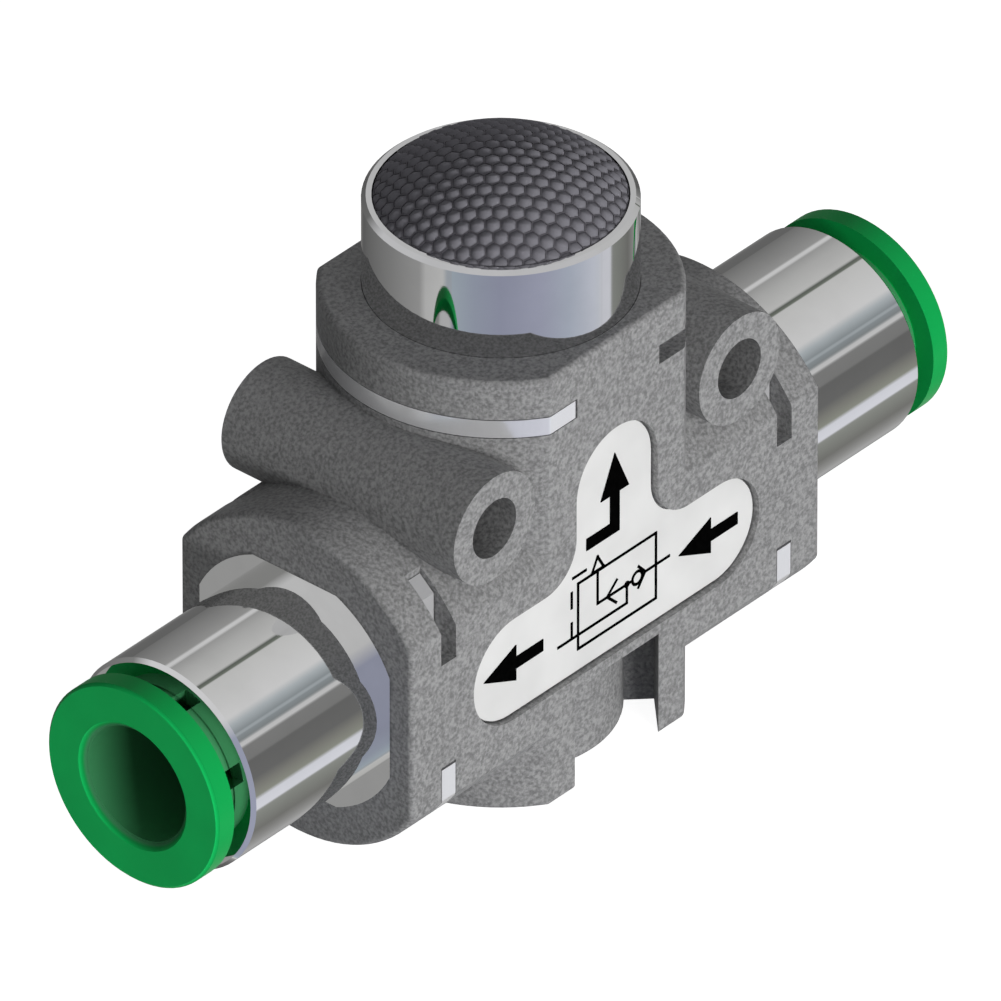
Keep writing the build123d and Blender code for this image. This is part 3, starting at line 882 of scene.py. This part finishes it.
@dataclass
class Socket:
    """One push-in socket with its release ring and the smooth lining of the ring's bore.

    Args:
        shop: makes the pieces.
        side: end of the valve.
        face: face of the body, out from the middle of the valve.
        sleeve_r: radius outside which a corner is the flange's.
        swell: how much the plating widens the flange in its recess.
        lining: outline of the lining, as (radius, height in front of the face).
        lining_steps: number of faces round the lining.
    """

    shop: Workshop
    side: Side
    face: float = 15.15 * MM
    sleeve_r: float = 5.95 * MM
    swell: float = 1.0072
    lining: tuple[Span, ...] = ((3.13 * MM, 5.5 * MM), (3.185 * MM, 5.5 * MM),
                                (3.185 * MM, 11.69 * MM), (3.13 * MM, 11.65 * MM))
    lining_steps: int = 96

    def build(self) -> None:
        """Make every piece of the socket."""
        word = self.side.word
        ring_body = Body.OUTLET_RING if self.side is Side.LEFT else Body.INLET_RING
        sleeve = self.shop.merged_copy(f"cartridge_{word}", f"plated_socket_{word}")
        for vert in sleeve.data.vertices:
            out = Vector((vert.co.y, vert.co.z - TUBE_AXIS))
            if out.length > self.sleeve_r:
                vert.co.y, vert.co.z = self.swell * out.x, TUBE_AXIS + self.swell * out.y
        self.shop.finish_piece(sleeve, SOCKET_PLATING, Body.VALVE, (f"cartridge_{word}",))
        self.shop.dressed_copy(f"release_ring_{word}", f"green_ring_{word}", GREEN_PLASTIC,
                               ring_body)
        # The lining lies inside the ring's bore, so it takes the ring's painted shade all over.
        lining = self.shop.piece(f"ring_lining_{word}", self.bore())
        self.shop.finish_piece(lining, GREEN_PLASTIC, ring_body)

    def bore(self) -> bmesh.types.BMesh:
        """Spin the lining's outline about the tube axis.

        Returns:
            The lining, a closed thin tube.
        """
        way = Vector((self.side.value, 0, 0))
        middle = Vector((0, 0, TUBE_AXIS)) + way * self.face
        bm = bmesh.new()
        ring = [bm.verts.new(middle + Vector((0, radius, 0)) + way * height)
                for radius, height in self.lining]
        edges = [bm.edges.new((ring[i - 1], ring[i])) for i in range(len(ring))]
        bmesh.ops.spin(bm, geom=ring + edges, cent=middle, axis=way, angle=2 * math.pi,
                       steps=self.lining_steps, use_merge=True)
        bmesh.ops.remove_doubles(bm, verts=bm.verts, dist=JOIN_DISTANCE)
        bmesh.ops.recalc_face_normals(bm, faces=bm.faces)
        return bm


@dataclass
class Silencer:
    """Plated cup with the domed mesh and the pad behind it.

    Args:
        shop: makes the pieces.
        cup_r: radius of the turned cup.
        cup_skin: depth inside it within which a corner counts as on the outside.
        plating: thickness of the plating on it.
        foot: edge of the mesh above the underside of the valve.
        mesh_r: radius of the mesh's edge.
        rise: height of the wires' dome above its edge.
        pitch: distance between neighbouring cells, along the dome.
        overlap: how far past the mesh's edge the net reaches, in pitches.
        wire: width of a wire.
        wire_depth: thickness of a wire.
        turn: angle of the rows of cells round the exhaust axis, in degrees.
        slip: shift of the cells from the exhaust axis.
        pillow: insets in from the wires and how far each one rises, in mm.
        ridge: share by which each swelling narrows to a ridge along its row.
        pad_depth: thickness of the pad.
        pad_drop: how far the pad lies behind the dome, in thicknesses of a wire.
        pad_sharp: angle in degrees above which the pad's edges stay sharp.
    """

    shop: Workshop
    cup_r: float = 6.77 * MM
    cup_skin: float = 0.01 * MM
    plating: float = 0.03 * MM
    foot: float = 30.15 * MM
    mesh_r: float = 6.24 * MM
    rise: float = 2.47 * MM
    pitch: float = 0.80 * MM
    overlap: float = 0.7
    wire: float = 0.05 * MM
    wire_depth: float = 0.06 * MM
    turn: float = -48.9
    slip: Span = (0.142 * MM, 0.125 * MM)
    pillow: tuple[Span, ...] = ((0.01, 0.03), (0.16, 0.17))
    ridge: float = 0.85
    pad_depth: float = 0.6 * MM
    pad_drop: float = 1.2
    pad_sharp: float = 80.0

    def build(self) -> None:
        """Make every piece of the silencer."""
        cup = self.shop.merged_copy("silencer_housing", "plated_cup")
        for vert in cup.data.vertices:
            if Vector(vert.co.xy).length > self.cup_r - self.cup_skin:
                vert.co.xy = Vector(vert.co.xy).normalized() * (self.cup_r + self.plating)
        self.shop.finish_piece(cup, SILENCER_PLATING, Body.VALVE, ("silencer_housing",))
        mesh = self.shop.piece("domed_mesh", self.mesh())
        self.shop.finish_piece(mesh, MESH_WIRE, Body.VALVE, ("silencer_grille",))
        pad = self.shop.piece("pillowed_pad", self.pad(), self.pad_sharp)
        self.shop.finish_piece(pad, PAD_FELT, Body.VALVE, ("silencer_pad",))

    @property
    def dome_r(self) -> float:
        """Radius of the sphere that the wires lie on."""
        return (self.mesh_r ** 2 + self.rise ** 2) / (2 * self.rise)

    @property
    def reach(self) -> float:
        """Length along the dome from its top to its edge."""
        return self.dome_r * math.asin(self.mesh_r / self.dome_r)

    def net(self) -> tuple[bmesh.types.BMesh, list[bmesh.types.BMFace]]:
        """Flat net of hexagons that covers the dome, each inset by half a wire.

        Returns:
            The net, with frames between the cells, and its cells.
        """
        bm = bmesh.new()
        row_pitch = self.pitch * math.sqrt(3) / 2
        rows = math.ceil(self.reach / row_pitch) + 1
        turned = (Matrix.Translation((*self.slip, 0))
                  @ Matrix.Rotation(math.radians(self.turn), 4, "Z"))
        for row in range(-rows, rows + 1):
            for column in range(-rows, rows + 1):
                spot = Vector(((column + row % 2 / 2) * self.pitch, row * row_pitch, 0))
                if spot.length < self.reach + self.overlap * self.pitch:
                    bmesh.ops.create_circle(bm, cap_ends=True, segments=6,
                                            radius=self.pitch / math.sqrt(3),
                                            matrix=turned @ Matrix.Translation(spot))
        bmesh.ops.remove_doubles(bm, verts=bm.verts, dist=self.wire / 10)
        cells = bm.faces[:]
        bmesh.ops.inset_individual(bm, faces=cells, thickness=self.wire / 2,
                                   use_even_offset=True)
        return bm, cells

    def domed(self, bm: bmesh.types.BMesh) -> bmesh.types.BMesh:
        """Lay a flat net on the dome, cut off at its edge.

        Args:
            bm: the net, whose Z is the height above the dome.

        Returns:
            The same net.
        """
        for vert in bm.verts:
            flat = Vector((vert.co.x, vert.co.y))
            angle = min(flat.length, self.reach) / self.dome_r
            fade = max(0.0, min(1.0, (self.reach - flat.length) / self.pitch))
            radius = self.dome_r + min(vert.co.z, vert.co.z * fade)
            way = flat.normalized() * math.sin(angle) * radius
            vert.co = (way.x, way.y, self.foot + self.rise - self.dome_r
                       + math.cos(angle) * radius)
        bmesh.ops.remove_doubles(bm, verts=bm.verts, dist=JOIN_DISTANCE)
        bmesh.ops.recalc_face_normals(bm, faces=bm.faces)
        return bm

    def mesh(self) -> bmesh.types.BMesh:
        """Keep the wires between the cells and give them their depth.

        Returns:
            The domed mesh.
        """
        bm, cells = self.net()
        bmesh.ops.delete(bm, geom=cells, context="FACES_ONLY")
        bmesh.ops.solidify(bm, geom=bm.faces[:], thickness=self.wire_depth)
        return self.domed(bm)

    def pad(self) -> bmesh.types.BMesh:
        """Let the pad swell through every cell, in a low ridge along its row.

        Returns:
            The pad, with its underside.
        """
        bm, cells = self.net()
        for inwards, rise in self.pillow:
            bmesh.ops.inset_individual(bm, faces=cells, thickness=inwards * MM,
                                       depth=rise * MM, use_even_offset=True)
        across = math.radians(self.turn + 90)
        away = Vector((math.cos(across), math.sin(across), 0))
        for cell in cells:
            middle = cell.calc_center_median()
            for vert in cell.verts:
                vert.co -= self.ridge * away.dot(vert.co - middle) * away
        bmesh.ops.translate(bm, verts=bm.verts, vec=(0, 0, -self.pad_drop * self.wire_depth))
        bmesh.ops.solidify(bm, geom=bm.faces[:], thickness=self.pad_depth)
        return self.domed(bm)


@dataclass
class InnerPieces:
    """Seals, rings and the valve's seat and poppet, which keep their nodes.

    Args:
        finishes: a word in the node's name, and the node's finish.
    """

    finishes: tuple[tuple[str, Finish], ...] = (
        ("oring", SEAL_RUBBER), ("tube_seal", SEAL_RUBBER), ("valve_poppet", POPPET_RUBBER),
        ("inlet_seat", PLAIN_BRASS), ("grip_ring", SPRING_STEEL),
        ("seal_washer", INNER_PLASTIC), ("guide_bush", INNER_PLASTIC))

    def build(self) -> None:
        """Dress the nodes that stay."""
        for name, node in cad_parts.items():
            for word, finish in self.finishes:
                if word in name:
                    node.data.materials.clear()
                    node.data.materials.append(finish.material())
                    LOG.info("%s keeps its node, %s", name, finish.name)


# Studio


@dataclass(frozen=True)
class Lamp:
    """Area light aimed at the valve, which the plating doesn't mirror.

    Args:
        name: name of the light.
        direction: from the valve towards the light.
        size: its width and height, in metres.
        level: brightness of a white card that faces it, times pi.
        distance: how far away it stands, in metres.
    """

    name: str
    direction: Triple
    size: Span
    level: float
    distance: float = 0.9

    def build(self, target: Vector) -> None:
        """Make the light.

        Args:
            target: what it shines at.
        """
        data = bpy.data.lights.new(self.name, "AREA")
        data.shape = "RECTANGLE"
        data.size, data.size_y = self.size
        data.energy = self.level * self.distance ** 2 * math.pi
        lamp = placed(self.name, data)
        lamp.visible_glossy = False
        aim(lamp, target, Vector(self.direction).normalized(), self.distance)


@dataclass
class Studio:
    """Camera, floor, surroundings and lamps.

    Args:
        azimuth: angle of the view round the valve from its front, in degrees.
        elevation: angle of the view above the floor, in degrees.
        view_width: width of the picture at the valve.
        half_angle: half the lens's angle of view, in degrees.
        clip: nearest and farthest distance that the camera sees, in metres.
        rise: height of the picture's middle above the tube axis, up the picture.
        shift_right: distance of the picture's middle from the exhaust axis.
        floor_size: side of the square floor, in metres.
        paper: colour of the floor.
        floor_glow: brightness that the floor adds for the camera alone.
        front_level: soft light from the front.
        back_level: soft light from behind.
        above_level: what the plating mirrors above the panels.
        back_blend: parts of a direction along Y between which front turns into back.
        above_blend: parts along Z between which the cup's panels turn into above.
        side_blend: parts along X between which those turn into the sockets' panels.
    """

    # Edges of the panels in degrees about X, for the sockets, and about Z, for the cup.
    ACROSS: ClassVar[Panels] = (
        (-157, grey(0.14)), (-111, grey(0.42)), (-77, (0.20, 0.20, 0.19)),
        (-57, (0.27, 0.28, 0.26)), (-51, (0.30, 0.31, 0.29)), (-49, (0.78, 0.79, 0.86)),
        (-38, (0.74, 0.75, 0.82)), (-34, (0.30, 0.31, 0.27)), (-24, (0.24, 0.24, 0.22)),
        (-14, grey(0.16)), (4, grey(0.15)), (6, grey(0.22)), (19, grey(0.23)),
        (21, (0.62, 0.62, 0.63)), (24, (0.60, 0.60, 0.61)), (26, (0.24, 0.26, 0.27)),
        (31, (0.28, 0.31, 0.33)), (33, (0.44, 0.48, 0.51)), (35, (0.28, 0.31, 0.33)),
        (44, (0.46, 0.50, 0.53)), (51, (0.70, 0.70, 0.71)), (90, grey(0.60)),
        (91, (0.18, 0.20, 0.17)), (95, (0.11, 0.12, 0.11)), (96, grey(0.58)), (118, grey(0.46)),
        (130, grey(0.36)), (131.5, (0.66, 0.66, 0.67)), (135.5, (0.66, 0.66, 0.67)),
        (137, grey(0.34)), (150, grey(0.28)), (179, grey(0.18)))
    ROUND: ClassVar[Panels] = (
        (-180, (0.44, 0.51, 0.58)), (-161, (0.38, 0.42, 0.52)), (-139, (0.36, 0.38, 0.50)),
        (-105, (0.44, 0.46, 0.59)), (-80, (0.52, 0.57, 0.68)), (-56, (0.68, 0.71, 0.81)),
        (-48, (0.70, 0.73, 0.80)), (-45, (0.33, 0.34, 0.33)), (-15, grey(0.21)),
        (18, (0.36, 0.35, 0.34)), (64, grey(0.12)), (118, grey(0.27)), (150, grey(0.39)),
        (156, grey(0.60)), (172, grey(0.67)), (176, (0.44, 0.48, 0.53)))
    LAMPS: ClassVar[tuple[Lamp, ...]] = (
        Lamp("key", (-0.18, -0.97, 0.09), (0.6, 0.14), 2.6),
        Lamp("back", (0.75, 0.65, 0.09), (0.6, 0.14), 0.45),
        Lamp("top", (-0.1, -0.1, 1.0), (0.6, 0.6), 0.17))

    azimuth: float = -48.9
    elevation: float = 34.6
    view_width: float = 48.83 * MM
    half_angle: float = 0.62
    clip: Span = (0.1, 20.0)
    rise: float = 2.24 * MM
    shift_right: float = -0.02 * MM
    floor_size: float = 3.0
    paper: Colour = grey(0.8)
    floor_glow: float = 0.90
    front_level: Colour = (0.25, 0.25, 0.255)
    back_level: Colour = grey(0.04)
    above_level: Colour = (0.72, 0.72, 0.74)
    back_blend: Span = (-0.35, 0.35)
    above_blend: Span = (0.3, 0.5)
    side_blend: Span = (0.52, 0.58)

    def build(self) -> None:
        """Set up the whole studio."""
        bpy.context.scene.view_settings.view_transform = "Standard"
        self.camera()
        self.floor()
        self.world()
        for lamp in self.LAMPS:
            lamp.build(Vector((0, 0, TUBE_AXIS)))

    def camera(self) -> None:
        """Long lens at the photograph's angle, close to a parallel view."""
        azimuth, elevation = math.radians(self.azimuth), math.radians(self.elevation)
        back = Vector((math.sin(azimuth) * math.cos(elevation),
                       -math.cos(azimuth) * math.cos(elevation), math.sin(elevation)))
        right = Vector((math.cos(azimuth), math.sin(azimuth), 0))
        up = back.cross(right)
        half = math.radians(self.half_angle)
        data = bpy.data.cameras.new("camera")
        data.lens = data.sensor_width / 2 / math.tan(half)
        data.clip_start, data.clip_end = self.clip
        target = Vector((0, 0, TUBE_AXIS)) + up * self.rise + right * self.shift_right
        camera = placed("camera", data)
        aim(camera, target, back, self.view_width / 2 / math.tan(half))
        bpy.context.scene.camera = camera

    def floor(self) -> None:
        """Plain pale floor that keeps a soft shadow."""
        bm = bmesh.new()
        bmesh.ops.create_grid(bm, x_segments=1, y_segments=1, size=self.floor_size / 2)
        mesh = bpy.data.meshes.new("floor")
        bm.to_mesh(mesh)
        bm.free()
        floor = placed("floor", mesh)
        material = bpy.data.materials.new("floor")
        graph = Graph.cleared(material)
        seen = graph.node("ShaderNodeLightPath", output="Is Camera Ray")
        paper = graph.node("ShaderNodeBsdfDiffuse", inputs={"Color": (*self.paper, 1.0)})
        glow = graph.node("ShaderNodeEmission", inputs={"Strength": self.floor_glow * seen})
        both = graph.node("ShaderNodeAddShader", inputs={0: paper, 1: glow})
        graph.node("ShaderNodeOutputMaterial", inputs={"Surface": both})
        mesh.materials.append(material)
        floor.visible_glossy = False

    def world(self) -> None:
        """Even surroundings, white behind the object, with soft panels for the plating."""
        world = bpy.data.worlds.new("studio")
        bpy.context.scene.world = world
        graph = Graph.cleared(world)
        seen, mirrored, through = graph.outputs(
            "ShaderNodeLightPath", ("Is Camera Ray", "Is Glossy Ray", "Is Transmission Ray"))
        direction = graph.node("ShaderNodeTexCoord", output="Generated")
        towards_back = graph.axes(direction)[1]
        soft = graph.blend(graph.mapped(towards_back, *self.back_blend), self.front_level,
                           self.back_level)
        shown = graph.blend(mirrored, soft, self.panels(graph, direction))
        shown = graph.blend(seen.either(through), shown, grey(1.0))
        light = graph.node("ShaderNodeBackground", inputs={"Color": shown, "Strength": 1.0})
        graph.node("ShaderNodeOutputWorld", inputs={"Surface": light})

    def panels(self, graph: Graph, direction: Signal) -> Signal:
        """Brightness of the surroundings that the plating mirrors, by direction.

        Args:
            graph: the world's graph.
            direction: direction that is looked in.

        Returns:
            The colour seen in each direction.
        """
        x, y, z = graph.axes(direction)
        across = self.row(graph, z.angle_from(-1.0 * y), self.ACROSS)
        round_cup = self.row(graph, y.angle_from(x), self.ROUND)
        above = graph.blend(graph.mapped(z, *self.above_blend), round_cup, self.above_level)
        return graph.blend(graph.mapped(x, *self.side_blend), above, across)

    @staticmethod
    def row(graph: Graph, angle: Signal, panels: Panels) -> Signal:
        """Row of panels round an axis.

        Args:
            graph: the world's graph.
            angle: angle about the axis, in radians.
            panels: angle in degrees and colour of each edge of a panel.

        Returns:
            The colour at each angle.
        """
        stops = [((degrees + 180) / 360, colour) for degrees, colour in panels]
        place = angle * (1 / (2 * math.pi)) + 0.5
        return graph.node("ShaderNodeValToRGB", {"stops": stops}, {0: place})


def main() -> None:
    """Build the studio and the valve in order."""
    logging.basicConfig(level=logging.INFO, format="%(name)s %(message)s")
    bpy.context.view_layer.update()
    shop = Workshop()
    Studio().build()
    MouldedBody(shop).build()
    Label(shop).build()
    for side in Side:
        Socket(shop, side).build()
    Silencer(shop).build()
    InnerPieces().build()
    LOG.info("%d pieces made", len(shop.made))


if __name__ == "__main__":
    main()
